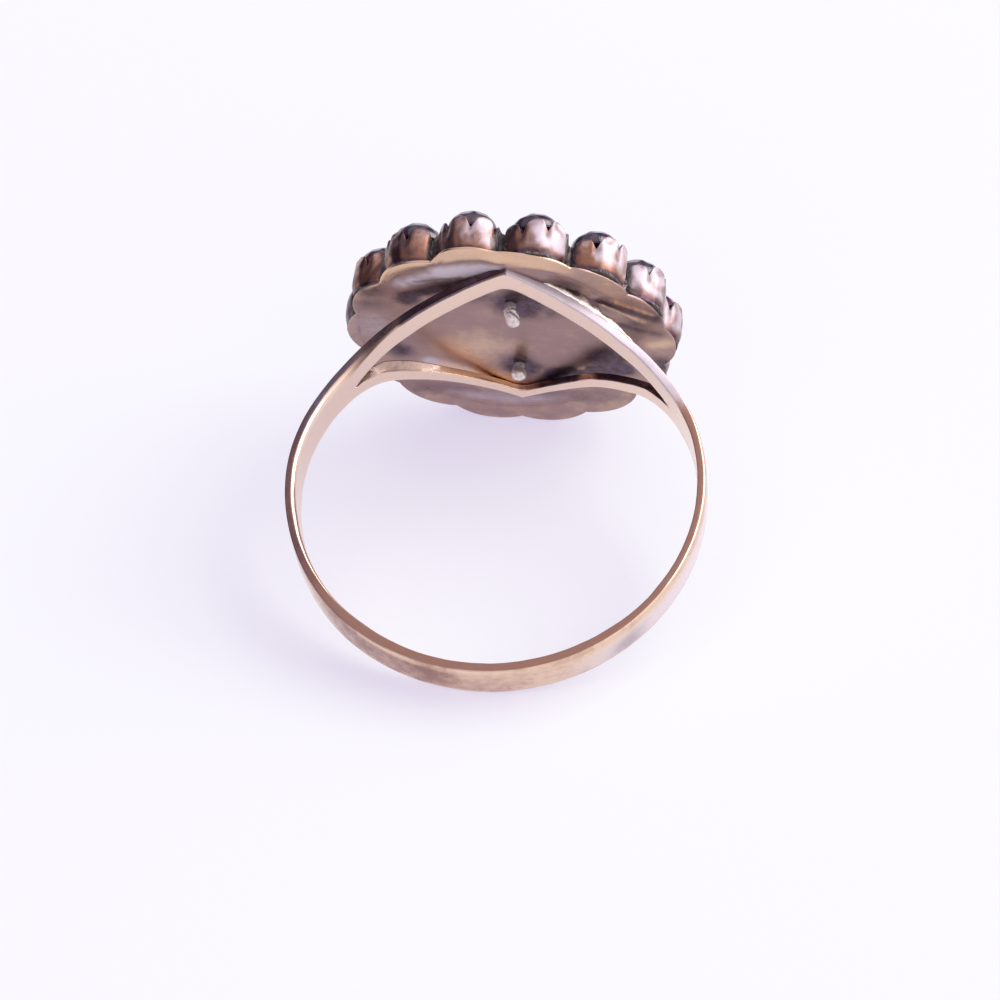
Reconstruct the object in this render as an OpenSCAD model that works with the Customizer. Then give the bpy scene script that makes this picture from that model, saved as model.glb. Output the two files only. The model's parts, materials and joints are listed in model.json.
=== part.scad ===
// Finger ring with a round cluster head: an outer row of garnets in claw collets,
// a raised second row and a centre stone, on a split shank. It lies on its side,
// at rest on two lobes of its base plate and on the bottom of its band.
// The ring is drawn with its finger axis along Z and its head towards +Y.
// Then it is tilted onto the surface that it rests on, which is Z = 0.

/* [Finger opening] */
// Radius of the round lower part of the opening
opening_r = 8.55; // [8.2:0.05:9.2]
// Radius of the tighter curve at each shoulder
shoulder_r = 6; // [5:0.1:6.5]
// Radius of the flattened curve under the head
under_head_r = 11.5; // [11:0.1:12.5]
// Angle above the level where each shoulder curve starts
shoulder_a = 16.6; // [12:0.1:20]

/* [Shank] */
// Thickness of the sheet that the shank is bent from
wall = 0.42; // [0.36:0.01:0.6]
// Width of the band at its bottom
band_bottom_w = 2.05; // [1.6:0.05:2.3]
// Width of the band at its sides
band_side_w = 2.2; // [2.1:0.05:2.4]
// Height of the upper arch's point above the middle of the band
upper_arch_z = 5.85; // [5.4:0.05:5.95]
// Depth of the lower arch's point below the middle of the band
lower_arch_z = 4.95; // [4.6:0.05:5.3]
// Distance from the middle at which the upper arch's edges run into the band's
upper_arch_x = 7.3; // [7:0.1:7.5]
// Distance from the middle at which the lower arch's edges run into the band's
lower_arch_x = 6.3; // [6:0.1:6.8]
// Radius of the hollow curve between an arch's edge and the band's
arch_fillet_r = 4; // [2:0.5:5]
// Distance from the middle to the fork between the two branches
fork_x = 7.1; // [6.7:0.05:7.2]
// Depth of the fork below the middle of the band
fork_drop = 0.2; // [0:0.05:0.3]
// Height at which the straight inner edges of the upper arch would meet
upper_fork_z = 4.6; // [4.2:0.05:4.65]
// Depth at which the straight inner edges of the lower arch would meet
lower_fork_z = 4.4; // [4:0.05:4.4]
// Distance from the middle at which the lower branches bend down
lower_bend_x = 6; // [5.5:0.1:6.2]
// Depth of that bend below the middle of the band
lower_bend_z = 0.42; // [0.36:0.01:0.5]
// Radius inside the point of an arch
arch_inner_r = 0.8; // [0.5:0.1:1.2]

/* [Base plate] */
// Number of collets in the outer row, and of lobes on the plate
outer_count = 14; // [14:1:14]
// Thickness of the base plate
plate_t = 0.2; // [0.18:0.01:0.25]
// Depth of the head's middle below the middle of the band
head_drop = 0.3; // [0:0.05:0.4]
// Distance from the plate's middle to the centre of each lobe
lobe_ring_r = 4.9; // [4.9:0.01:4.95]
// Radius of each lobe
lobe_r = 2.35; // [2.35:0.01:2.4]
// Depth that the arch points bite into the plate, where they are soldered
solder_bite = 0.1; // [0.08:0.01:0.15]

/* [Outer row] */
// Distance from the head's middle to each outer stone
outer_ring_r = 6.12; // [6.1:0.01:6.14]
// Radius of an outer collet at its mouth
outer_mouth_r = 1.33; // [1.28:0.01:1.33]
// Radius of an outer collet at its foot, just inside the edge of its lobe
outer_foot_r = 1.09; // [1.05:0.01:1.09]
// Height of an outer collet to its claw tips
outer_collet_h = 1.75; // [1.6:0.01:1.8]
// Radius of an outer stone at its girdle
outer_stone_r = 1.12; // [1.08:0.01:1.13]
// Height of an outer stone above its girdle
outer_crown_h = 0.98; // [0.8:0.01:1.05]
// Number of claws that each collet of the two rows has
claw_count = 7; // [6:1:8]

/* [Upper tier] */
// Number of stones in the second row
inner_count = 8; // [8:1:8]
// Clear height between the base plate and the upper plate
tier_rise = 1.08; // [1.05:0.01:1.15]
// Thickness of the upper plate
tier_t = 0.3; // [0.25:0.01:0.35]
// Distance from the head's middle to each stone of the second row
inner_ring_r = 3.5; // [3.45:0.01:3.52]
// Radius of a second-row collet at its mouth
inner_mouth_r = 1.25; // [1.2:0.01:1.26]
// Radius of a second-row stone at its girdle
inner_stone_r = 1.04; // [1:0.01:1.05]
// Height of a second-row stone above its girdle
inner_crown_h = 0.72; // [0.6:0.01:0.8]
// Radius of the centre collet at its mouth
centre_mouth_r = 2; // [1.9:0.01:2.02]
// Height of the centre collet to its claw tips
centre_collet_h = 1.55; // [1.4:0.01:1.7]
// Radius of the centre stone at its girdle
centre_stone_r = 1.76; // [1.7:0.01:1.78]
// Height of the centre stone above its girdle
centre_crown_h = 1.05; // [0.9:0.01:1.15]
// Number of claws on the centre collet
centre_claw_count = 10; // [8:1:12]

/* [Rivets] */
// Distance from the head's middle to each rivet
rivet_ring_r = 2.57; // [2.5:0.01:2.62]
// Diameter of a rivet where it passes through the plates
rivet_d = 0.5; // [0.45:0.01:0.55]
// Diameter of a rivet between the plates, where it keeps them apart
rivet_shoulder_d = 0.8; // [0.7:0.01:0.85]
// Length of a rivet's rounded end behind the base plate
rivet_end_h = 0.85; // [0.6:0.01:0.95]

/* [Hidden] */
$fn = 96;

// Clearance between pieces that aren't soldered together
gap = 0.03;
// Depth that soldered pieces run into each other
bite = 0.05;
// Extra length of a cutter past the faces that it cuts
over = 0.2;

// How much narrower a collet of the upper tier is at its foot than at its mouth
foot_step = 0.12;
// Share of its height at which a collet reaches its full width
flare_share = 0.6;
// Depth of a stone's girdle below the tips of its claws
claw_reach = 0.37;
// Width of the ledge under the edge of a stone
ledge_w = 0.14;
// A claw leans in over the edge of its stone by this much
claw_lean = 0.13;
claw_wall = 0.15;
// Depth of the notch between two claws, and its share of the space between them
claw_notch = 0.52;
notch_share = 0.72;

girdle_t = 0.08;
stone_depth_share = 0.5;
stone_sides = 8;
table_share = 0.52;
waist_share = 0.86;
waist_rise = 0.53;
rivet_head_h = 0.15;

gold = [0.76, 0.6, 0.42];
tombak = [0.5, 0.33, 0.24];
silver = [0.8, 0.78, 0.74];
garnet = [0.24, 0.04, 0.06];

// The opening's outline is four arcs that meet smoothly: one round the bottom,
// one at each shoulder and one under the head.
shoulder_c = (opening_r - shoulder_r) * [cos(shoulder_a), sin(shoulder_a)];
shoulder_end_a = acos(shoulder_c.x / (under_head_r - shoulder_r));
under_head_y = shoulder_c.y - (under_head_r - shoulder_r) * sin(shoulder_end_a);
opening_top = under_head_y + under_head_r;

plate_back = opening_top + wall - solder_bite;
band_outer_r = opening_r + wall;
arch_stock_z = max(upper_arch_z, lower_arch_z) + over;

// Heights above the back of the base plate
tier_back = plate_t + tier_rise;
tier_front = tier_back + tier_t;
inner_foot_r = inner_mouth_r - foot_step;
inner_collet_h = 1.1;
centre_foot_r = centre_mouth_r - foot_step;

// Tilt and lift that lay the ring on two plate lobes and its band
lobe_step = 360 / outer_count;
lobe_low_z = head_drop + lobe_ring_r * cos(lobe_step / 2) + lobe_r;
tilt = atan((lobe_low_z - band_bottom_w / 2) / (plate_back + band_outer_r));
lift = lobe_low_z * cos(tilt) - plate_back * sin(tilt);

// Height of a stone's girdle above the foot of its collet
function girdle_z(collet_h) = collet_h - claw_reach;

// A ring of n points at height z, turned by the angle turn
function level(n, r, z, turn = 0) =
    [for (i = [0:n - 1]) [r * cos(360 / n * i + turn), r * sin(360 / n * i + turn), z]];

// Points of a cut stone from its table down to its point
function stone_points(r, crown) = concat(
    level(stone_sides, table_share * r, crown),
    level(stone_sides, waist_share * r, waist_rise * crown, 180 / stone_sides),
    level(2 * stone_sides, r, girdle_t / 2),
    level(2 * stone_sides, r, -girdle_t / 2),
    [[0, 0, -stone_depth_share * r]]);

// Faces of a cut stone: table, two rows of crown facets, girdle and back
function stone_faces() =
    let (n = stone_sides, waist = n, upper = 2 * n, lower = 4 * n, tip = 6 * n)
    concat(
        [[for (i = [n - 1:-1:0]) i]],
        [for (i = [0:n - 1]) [i, (i + 1) % n, waist + i]],
        [for (i = [0:n - 1]) [waist + i, (i + 1) % n, waist + (i + 1) % n]],
        [for (i = [0:n - 1]) [waist + i, upper + 2 * i + 1, upper + 2 * i]],
        [for (i = [0:n - 1]) [waist + i, upper + (2 * i + 2) % (2 * n), upper + 2 * i + 1]],
        [for (i = [0:n - 1])
            [waist + i, waist + (i + 1) % n, upper + (2 * i + 2) % (2 * n)]],
        [for (i = [0:2 * n - 1])
            [upper + i, upper + (i + 1) % (2 * n), lower + (i + 1) % (2 * n), lower + i]],
        [for (i = [0:2 * n - 1]) [lower + i, lower + (i + 1) % (2 * n), tip]]);

// How far towards +Y a point of the head reaches once the ring is tilted
function forward(p) = (plate_back + p.z) * cos(tilt) + (p.y + head_drop) * sin(tilt);
function turned(p, a) = [p.x * cos(a) - p.y * sin(a), p.x * sin(a) + p.y * cos(a), p.z];

outer_seat_z = plate_t + girdle_z(outer_collet_h);
front_y = max([for (i = [0:outer_count - 1])
    for (p = stone_points(outer_stone_r, outer_crown_h))
        forward(turned(p + [outer_ring_r, 0, outer_seat_z], lobe_step * i))]);
back_y = -band_outer_r * cos(tilt) - band_bottom_w / 2 * sin(tilt);
origin_y = -(front_y + back_y) / 2;

// Lays its children on the surface, with the origin under the middle of the ring
module laid() {
    translate([0, origin_y, lift]) rotate([tilt, 0, 0]) children();
}

// Puts its children on the back of the base plate, with their Z out of the head
module on_plate() {
    translate([0, plate_back, -head_drop]) rotate([-90, 0, 0]) children();
}

// Repeats its children n times round the head, at radius r
module around(n, r, turn = 0) {
    for (i = [0:n - 1]) rotate([0, 0, 360 / n * i + turn]) translate([r, 0, 0]) children();
}

// Points of an arc from one angle to another, without its last point
function arc(c, r, from, to, n) =
    [for (i = [0:n - 1]) let (a = from + (to - from) * i / n) c + r * [cos(a), sin(a)]];

// The opening's outline moved out by off
function opening_points(off) = concat(
    arc([0, 0], opening_r + off, 180 - shoulder_a, 360 + shoulder_a, 44),
    arc(shoulder_c, shoulder_r + off, shoulder_a, shoulder_end_a, 8),
    arc([0, under_head_y], under_head_r + off, shoulder_end_a, 180 - shoulder_end_a, 12),
    arc([-shoulder_c.x, shoulder_c.y], shoulder_r + off, 180 - shoulder_end_a, 180 - shoulder_a, 8));

// The shank's sheet bent round the opening, taller than the arches
module bent_sheet() {
    linear_extrude(2 * arch_stock_z, center = true) difference() {
        polygon(opening_points(wall));
        polygon(opening_points(0));
    }
}

// The same points turned over to other sides of the axes
function flipped(points, sx, sz) = [for (p = points) [sx * p.x, sz * p.y]];
function backwards(points) = [for (i = [len(points) - 1:-1:0]) points[i]];

// Points of an arch's edge on one side, from below its point out past the band:
// a straight run, then a hollow curve into the band's own edge
function arch_edge(point_z, foot_x) =
    let (side = band_side_w / 2,
        slope = atan((point_z - side) / foot_x),
        c = [foot_x + arch_fillet_r * tan(slope / 2), side + arch_fillet_r])
    concat(arc(c, arch_fillet_r, 270 - slope, 270, 8),
        [[c.x, side], [band_outer_r + over, side]]);

// Outline of both arches seen along the finger's width
module arch_outline() {
    upper = arch_edge(upper_arch_z, upper_arch_x);
    lower = arch_edge(lower_arch_z, lower_arch_x);
    polygon(concat(
        [[0, upper_arch_z]], upper, flipped(backwards(lower), 1, -1),
        [[0, -lower_arch_z]], flipped(lower, -1, -1), flipped(backwards(upper), -1, 1)));
}

// Where a circle that rounds the point of a fork touches its edge on one side
function fork_touch(point_z, slope) =
    arch_inner_r * [sin(slope), cos(slope) - 1 / cos(slope)] + [0, point_z];

// The opening between the branches, rounded under each point
module fork_outline() {
    upper_slope = atan((upper_fork_z + fork_drop) / fork_x);
    lower_slope = atan((lower_fork_z - lower_bend_z) / lower_bend_x);
    half = concat(
        [fork_touch(upper_fork_z, upper_slope), [fork_x, -fork_drop],
            [lower_bend_x, -lower_bend_z]],
        flipped([fork_touch(lower_fork_z, lower_slope)], 1, -1));
    polygon(concat(half, flipped(backwards(half), -1, 1)));
    translate([0, upper_fork_z - arch_inner_r / cos(upper_slope)]) circle(r = arch_inner_r);
    translate([0, arch_inner_r / cos(lower_slope) - lower_fork_z]) circle(r = arch_inner_r);
}

// Extrudes an outline in X and Z along +Y
module along_y(h) {
    translate([0, h, 0]) rotate([90, 0, 0]) linear_extrude(h) children();
}

module arches() {
    intersection() {
        bent_sheet();
        along_y(under_head_r) difference() {
            arch_outline();
            fork_outline();
        }
    }
}

// The lower half of the band, which narrows towards its bottom
module lower_band() {
    side = band_side_w / 2;
    bottom = band_bottom_w / 2;
    intersection() {
        bent_sheet();
        translate([-band_outer_r - over, 0, 0]) rotate([90, 0, 90])
            linear_extrude(2 * (band_outer_r + over))
                polygon([
                    [0, -side], [0, side], [-band_outer_r, bottom],
                    [-band_outer_r - over, bottom], [-band_outer_r - over, -bottom],
                    [-band_outer_r, -bottom]]);
    }
}

// A plate with a lobe under each collet
module lobed_plate(n, ring_r, r, t, turn = 0) {
    linear_extrude(t) {
        circle(r = ring_r);
        around(n, ring_r, turn) circle(r = r);
    }
}

// A cup that flares a little, with a ledge for the stone and claws cut by V notches
module collet(mouth_r, foot_r, stone_r, h, claws, turn = 0) {
    seat = girdle_z(h);
    ledge_r = stone_r - ledge_w;
    bed_r = stone_r + gap;
    ledge_drop = stone_depth_share * (bed_r - ledge_r);
    bed = seat - girdle_t / 2 - gap;
    tip_r = mouth_r - claw_lean;
    rotate([0, 0, turn]) difference() {
        rotate_extrude() polygon([
            [ledge_r, -bite], [foot_r, -bite], [foot_r, 0], [mouth_r, flare_share * h],
            [mouth_r, seat], [tip_r, h], [tip_r - claw_wall, h],
            [bed_r, seat + girdle_t / 2 + gap], [bed_r, bed], [ledge_r, bed - ledge_drop]]);
        for (i = [0:claws - 1]) rotate([0, 0, 360 / claws * i])
            translate([ledge_r - over, 0, h]) rotate([90, 0, 90]) linear_extrude(mouth_r)
                notch_outline(mouth_r, claws);
    }
}

// A V whose mouth takes most of the space between two claw tips
module notch_outline(mouth_r, claws) {
    half = notch_share * mouth_r * sin(180 / claws);
    polygon([[0, -claw_notch], [half, 0], [half, over], [-half, over], [-half, 0]]);
}

module cut_stone(r, crown) {
    polyhedron(points = stone_points(r, crown), faces = stone_faces(), convexity = 2);
}

// Holes for both rivets through a plate whose back is at height z
module rivet_holes(z, t) {
    for (a = [-90, 90]) rotate([0, 0, a]) translate([rivet_ring_r, 0, z - over])
        cylinder(d = rivet_d + 2 * gap, h = t + 2 * over);
}

module mount() {
    color(gold) laid() {
        arches();
        lower_band();
        on_plate() difference() {
            lobed_plate(outer_count, lobe_ring_r, lobe_r, plate_t);
            rivet_holes(0, plate_t);
        }
        on_plate() for (i = [0:outer_count - 1]) rotate([0, 0, lobe_step * i])
            translate([outer_ring_r, 0, plate_t])
                collet(outer_mouth_r, outer_foot_r, outer_stone_r, outer_collet_h,
                    claw_count, turn = 37 * i);
    }
}

module upper_tier() {
    inner_step = 360 / inner_count;
    color(tombak) laid() on_plate() {
        difference() {
            translate([0, 0, tier_back])
                lobed_plate(inner_count, inner_ring_r, inner_mouth_r, tier_t, inner_step / 2);
            rivet_holes(tier_back, tier_t);
        }
        for (i = [0:inner_count - 1]) rotate([0, 0, inner_step * (i + 0.5)])
            translate([inner_ring_r, 0, tier_front])
                collet(inner_mouth_r, inner_foot_r, inner_stone_r, inner_collet_h,
                    claw_count, turn = 37 * i);
        translate([0, 0, tier_front])
            collet(centre_mouth_r, centre_foot_r, centre_stone_r, centre_collet_h,
                centre_claw_count);
    }
}

// A post with a rounded end behind the base plate, a shoulder between the plates
// and a flat head on the upper plate
module rivet(side) {
    end_r = rivet_d / 2;
    end_z = end_r - rivet_end_h;
    color(silver) laid() on_plate() rotate([0, 0, 90 * side]) translate([rivet_ring_r, 0, 0]) {
        translate([0, 0, end_z]) sphere(r = end_r);
        translate([0, 0, end_z]) cylinder(r = end_r, h = tier_front + gap + bite - end_z);
        translate([0, 0, plate_t + gap]) cylinder(d = rivet_shoulder_d, h = tier_rise - 2 * gap);
        translate([0, 0, tier_front + gap]) cylinder(r = end_r + 2 * gap, h = rivet_head_h);
    }
}

module outer_garnet(i) {
    color(garnet) laid() on_plate() rotate([0, 0, lobe_step * (i - 1)])
        translate([outer_ring_r, 0, outer_seat_z]) cut_stone(outer_stone_r, outer_crown_h);
}

module inner_garnet(i) {
    color(garnet) laid() on_plate() rotate([0, 0, 360 / inner_count * (i - 0.5)])
        translate([inner_ring_r, 0, tier_front + girdle_z(inner_collet_h)])
            cut_stone(inner_stone_r, inner_crown_h);
}

module centre_garnet() {
    color(garnet) laid() on_plate() translate([0, 0, tier_front + girdle_z(centre_collet_h)])
        cut_stone(centre_stone_r, centre_crown_h);
}

mount();
upper_tier();
rivet(-1);  // rivet_upper
rivet(1);  // rivet_lower
centre_garnet();
for (i = [1:outer_count]) outer_garnet(i);
for (i = [1:inner_count]) inner_garnet(i);
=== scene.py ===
# %% [markdown]
# # A garnet cluster ring, lying on its side
#
# The real thing is a small antique finger ring: a thin gilt band that splits into
# four branches, a scalloped base plate, fourteen dark red garnets in claw collets
# round its edge, and a raised second tier with eight more and one in the middle.
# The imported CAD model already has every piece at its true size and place. This
# scene keeps that frame fixed and dresses it: worn edges, hand-cut claws, bent
# rivet ends, tarnish and gloss.

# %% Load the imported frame
import json
import random
from collections import namedtuple
from math import acos, asin, atan, atan2, cos, degrees, exp, floor, hypot, pi, radians, sin, sqrt, tan, tau

import bmesh
import bpy
from mathutils import Matrix, Vector, noise


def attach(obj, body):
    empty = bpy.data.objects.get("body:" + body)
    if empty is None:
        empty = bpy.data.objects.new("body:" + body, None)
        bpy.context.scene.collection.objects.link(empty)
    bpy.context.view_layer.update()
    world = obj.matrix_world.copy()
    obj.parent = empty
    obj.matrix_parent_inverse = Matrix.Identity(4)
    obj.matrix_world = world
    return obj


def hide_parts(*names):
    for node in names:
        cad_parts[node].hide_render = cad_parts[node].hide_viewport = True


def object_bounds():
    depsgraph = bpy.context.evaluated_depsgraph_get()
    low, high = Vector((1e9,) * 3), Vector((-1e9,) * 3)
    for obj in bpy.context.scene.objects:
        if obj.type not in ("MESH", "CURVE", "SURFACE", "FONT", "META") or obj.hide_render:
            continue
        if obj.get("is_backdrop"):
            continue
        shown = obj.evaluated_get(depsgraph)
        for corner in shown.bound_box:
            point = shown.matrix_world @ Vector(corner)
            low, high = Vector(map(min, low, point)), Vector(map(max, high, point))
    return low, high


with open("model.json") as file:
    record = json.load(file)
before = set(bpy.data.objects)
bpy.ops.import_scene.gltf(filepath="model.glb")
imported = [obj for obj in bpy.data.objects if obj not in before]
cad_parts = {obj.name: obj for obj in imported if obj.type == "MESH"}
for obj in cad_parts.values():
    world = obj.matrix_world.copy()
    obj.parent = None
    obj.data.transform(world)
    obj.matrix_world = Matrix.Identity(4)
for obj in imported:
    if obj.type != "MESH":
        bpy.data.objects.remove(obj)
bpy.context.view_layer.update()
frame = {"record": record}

# %% [markdown]
# A jeweller thinks of a ring from its finger hole outwards, so the pieces are drawn
# that way too: the finger runs along Z, the head points along +Y, and the unit is
# the millimetre. The record says where the finger's axis lies once the ring rests
# on the table, and one matrix made from it takes every drawn point there.

# %% The ring's own axes
MM = 0.001
finger = frame["record"]["mounts"][0]
finger_axis = Vector(finger["axis"])
across = Vector((1, 0, 0))
axes = Matrix((across, finger_axis.cross(across), finger_axis)).transposed()
placing = Matrix.Translation(finger["pos_m"]) @ axes.to_4x4() @ Matrix.Scale(MM, 4)
print("the ring leans back by", round(degrees(asin(-finger_axis.y)), 2), "degrees")

# %% [markdown]
# The sizes below are the same named sizes that the CAD source uses. Numbers that
# follow from them are worked out here in the same way, so a finer mesh lands
# exactly on the solid that it stands for. An arch has the height of its point and
# the distance of its foot.

# %% Sizes shared with the CAD solids
OPENING_R, SHOULDER_R, UNDER_HEAD_R, SHOULDER_A = 8.55, 6.0, 11.5, 16.6
WALL, BAND_BOTTOM_W, BAND_SIDE_W = 0.42, 2.05, 2.2
UPPER_ARCH, LOWER_ARCH, FILLET_R = (5.85, 7.3), (4.95, 6.3), 4.0
FORK_X, FORK_DROP, FORK_ROUND = 7.1, 0.2, 0.8
UPPER_FORK_Z, LOWER_FORK_Z, LOWER_BEND = 4.6, 4.4, (6.0, 0.42)
PLATE_T, HEAD_DROP, LOBES, LOBE_RING_R, LOBE_R = 0.2, 0.3, 14, 4.9, 2.35
TIER_BACK, TIER_T, TIER_LOBE_R = 1.28, 0.3, 1.25
RIVET_RING_R = 2.57

shoulder_c = Vector((cos(radians(SHOULDER_A)), sin(radians(SHOULDER_A))))
shoulder_c *= OPENING_R - SHOULDER_R
shoulder_end = acos(shoulder_c.x / (UNDER_HEAD_R - SHOULDER_R))
under_head_y = shoulder_c.y - (UNDER_HEAD_R - SHOULDER_R) * sin(shoulder_end)
PLATE_BACK = under_head_y + UNDER_HEAD_R + WALL - 0.1
TIER_FRONT = TIER_BACK + TIER_T
print("back of the base plate at", round(PLATE_BACK, 4), "mm from the finger's axis")

# %% [markdown]
# Everything on the head is round, so it is easier to draw flat: a and b lie on the
# plate and h rises out of it, towards the stones. `on_head` turns such a point into
# ring coordinates; the head was soldered on slightly to one side. Small helpers for
# circles, soft steps, soft bumps and unevenness follow: nothing handmade is even.


# %% Drawing on the head, soft steps and hand-made unevenness
HEAD_SIDE = -0.2


def on_head(a, b, h):
    return Vector((a + HEAD_SIDE, PLATE_BACK + h, -HEAD_DROP - b))


def polar(r, angle):
    """A point on a circle, as two numbers."""
    return r * cos(angle), r * sin(angle)


def turns(count):
    """Angles all round a circle."""
    return [tau * i / count for i in range(count)]


def soft(x, low, high):
    """0 below low, 1 above high, and a smooth step between them."""
    t = min(1.0, max(0.0, (x - low) / (high - low)))
    return t * t * (3 - 2 * t)


def bell(x, middle, width):
    """1 at the middle, fading to 0 a few widths away on both sides."""
    return exp(-(((x - middle) / width) ** 2))


def wobble(x, y, z, size):
    """Smooth unevenness from -1 to 1 that repeats on each run; size is in mm."""
    return noise.noise(Vector((x, y, z)) / size)


print("wobble at the plate's middle:", round(wobble(0.3, 7.6, 0.2, 1.5), 3))

# %% [markdown]
# Most pieces here are skins stretched over a row of closed outlines, as a basket maker works from hoop to
# hoop. `make_piece` turns points and faces into an object that rides on the ring and stands for its CAD
# solid. It also stores marks for each point, from 0 to 1: `grime`, `wear`, `warm` where the gilding is
# golden, a mark where it is matt and pale, and a mark where it is dark brown. Besides real dirt, wear,
# gilding and stains, these marks also carry painted highlights, painted reflections and painted shade.
# `grain` is the direction that the polishing followed.


# %% Skins, and objects that ride on the ring
MARKS = ("grime", "wear", "warm", "frost", "stain")


def hoops_to_faces(hoops, count, loop=False, first=0):
    """Quads between closed hoops that have count points each."""
    faces = []
    for k in range(hoops if loop else hoops - 1):
        near, far = first + k * count, first + (k + 1) % hoops * count
        for i in range(count):
            j = (i + 1) % count
            faces.append((near + i, near + j, far + j, far + i))
    return faces


class Skin:
    """Points in ring coordinates, their faces, and what each point is like."""

    def __init__(self):
        self.points, self.faces, self.grain = [], [], []
        self.marks = {name: [] for name in MARKS}

    def point(self, where, grain=None, **marks):
        self.points.append(Vector(where))
        self.grain.append(Vector(where if grain is None else grain))
        for name, values in self.marks.items():
            values.append(marks.get(name, 0.0))
        return len(self.points) - 1

    def close_tube(self, hoops, count, first=0):
        """Faces round the hoops from point first on, and over both ends."""
        self.faces += hoops_to_faces(hoops, count, first=first)
        for start in (first, first + (hoops - 1) * count):
            self.faces.append(tuple(range(start, start + count)))


def make_piece(name, skin, material, node, sharp_deg):
    mesh = bpy.data.meshes.new(name)
    mesh.from_pydata([placing @ p for p in skin.points], [], skin.faces)
    for mark_name, values in skin.marks.items():
        mesh.attributes.new(mark_name, "FLOAT", "POINT").data.foreach_set("value", values)
    flat = [c for v in skin.grain for c in v]
    mesh.attributes.new("grain", "FLOAT_VECTOR", "POINT").data.foreach_set("vector", flat)
    bm = bmesh.new()
    bm.from_mesh(mesh)
    bmesh.ops.remove_doubles(bm, verts=bm.verts, dist=1e-4 * MM)
    bmesh.ops.recalc_face_normals(bm, faces=bm.faces)
    bm.to_mesh(mesh)
    bm.free()
    mesh.shade_smooth()
    mesh.set_sharp_from_angle(angle=radians(sharp_deg))
    place_piece(name, mesh, material, node)
    triangles = sum(len(p.vertices) - 2 for p in mesh.polygons)
    print(f"{name}: {len(mesh.vertices)} points, {triangles} triangles")


def add_object(name, data):
    made = bpy.data.objects.new(name, data)
    bpy.context.scene.collection.objects.link(made)
    return made


def place_piece(name, mesh, material, node):
    mesh.materials.append(material)
    piece = add_object(name, mesh)
    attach(piece, "root")
    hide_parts(node)


# %% [markdown]
# Shader maths reads best as ordinary sums. A `Flow` is one value travelling through
# a material's nodes: adding, subtracting or multiplying flows adds the Math nodes.
# Colours go through Mix nodes and vectors through Vector Math nodes, and any other
# node comes from `node`, which takes its type, its settings and its sockets.


# %% A class that writes shader nodes
class Flow:
    def __init__(self, tree, out=None):
        self.tree, self.out = tree, out

    def node(self, kind, settings=None, sockets=None, out=0):
        made = self.tree.nodes.new(kind)
        for name, value in (settings or {}).items():
            setattr(made, name, value)
        for name, value in (sockets or {}).items():
            if isinstance(value, Flow):
                self.tree.links.new(value.out, made.inputs[name])
            else:
                made.inputs[name].default_value = value
        return Flow(self.tree, made.outputs[out])

    def math(self, operation, a, b=0.0, clamp=False):
        return self.node("ShaderNodeMath", {"operation": operation, "use_clamp": clamp}, {0: a, 1: b})

    def __add__(self, other):
        return self.math("ADD", self, other)

    def __sub__(self, other):
        return self.math("SUBTRACT", self, other)

    def __rsub__(self, other):
        return self.math("SUBTRACT", other, self)

    def __mul__(self, other):
        return self.math("MULTIPLY", self, other)

    __radd__, __rmul__ = __add__, __mul__

    def clamped(self):
        return self.math("ADD", self, 0.0, clamp=True)

    def step(self, low, high):
        """0 where this value is below low, 1 above high, smooth between them."""
        return self.node(
            "ShaderNodeMapRange",
            {"interpolation_type": "SMOOTHSTEP"},
            {"Value": self, "From Min": low, "From Max": high},
        )

    def mixed(self, low, high):
        """The colour low where this value is 0, and high where it is 1."""
        return self.node("ShaderNodeMix", {"data_type": "RGBA"}, {0: self, 6: low, 7: high}, out=2)

    def stretched(self, x, y, z):
        """This vector, multiplied along each axis."""
        return self.node("ShaderNodeVectorMath", {"operation": "MULTIPLY"}, {0: self, 1: (x, y, z)})

    def cloud(self, scale, detail=3.0, rough=0.55):
        """Soft noise from 0 to 1 that follows this vector."""
        sockets = {"Vector": self, "Scale": scale, "Detail": detail, "Roughness": rough}
        return self.node("ShaderNodeTexNoise", {}, sockets)

    def part(self, name):
        """One component of this vector."""
        return self.node("ShaderNodeSeparateXYZ", {}, {0: self}, out=name)


def mark(start, name, out="Fac"):
    """A value that was stored on the mesh's points."""
    return start.node("ShaderNodeAttribute", {"attribute_name": name}, out=out)


def ring_mm(start):
    """Where a point is, in millimetres on the table."""
    return start.node("ShaderNodeTexCoord", out="Object").stretched(1000, 1000, 1000)


def new_material(name, constants):
    """A glossy material; the constants are the same all over it."""
    made = bpy.data.materials.new(name)
    made.use_nodes = True
    shader = made.node_tree.nodes["Principled BSDF"]
    for socket, value in constants.items():
        shader.inputs[socket].default_value = value
    return made, Flow(made.node_tree), shader


def feed(flow, shader, socket):
    flow.tree.links.new(flow.out, shader.inputs[socket])


def relief(start, height, depth, strength):
    """A bump, ready for the shader's normal; its depth is in mm."""
    return start.node("ShaderNodeBump", {}, {"Height": height, "Distance": depth * MM, "Strength": strength})


print("Flow ready")

# %% [markdown]
# The metal is tombak, a copper-rich brass, with worn rose gilding. Freshly rubbed spots are pale pinkish
# gold, the rest carries a thin brown and violet film, and dirt has settled black-green where no cloth
# reaches. One recipe makes all of it, and each part of the ring asks for more or less of the film; painted
# images would not follow the mesh at every scale. In the sums each mark has a weight, noise frays its edge,
# and `step` makes a patch with a soft border of it. The layers go on as on a real surface: metal, scratches,
# film, gold, matt pale patches, stains, and dirt on top. The rubbed, gold, matt pale and stain layers also
# carry painted highlights, painted reflections and painted shade, where the marks put them.


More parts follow.
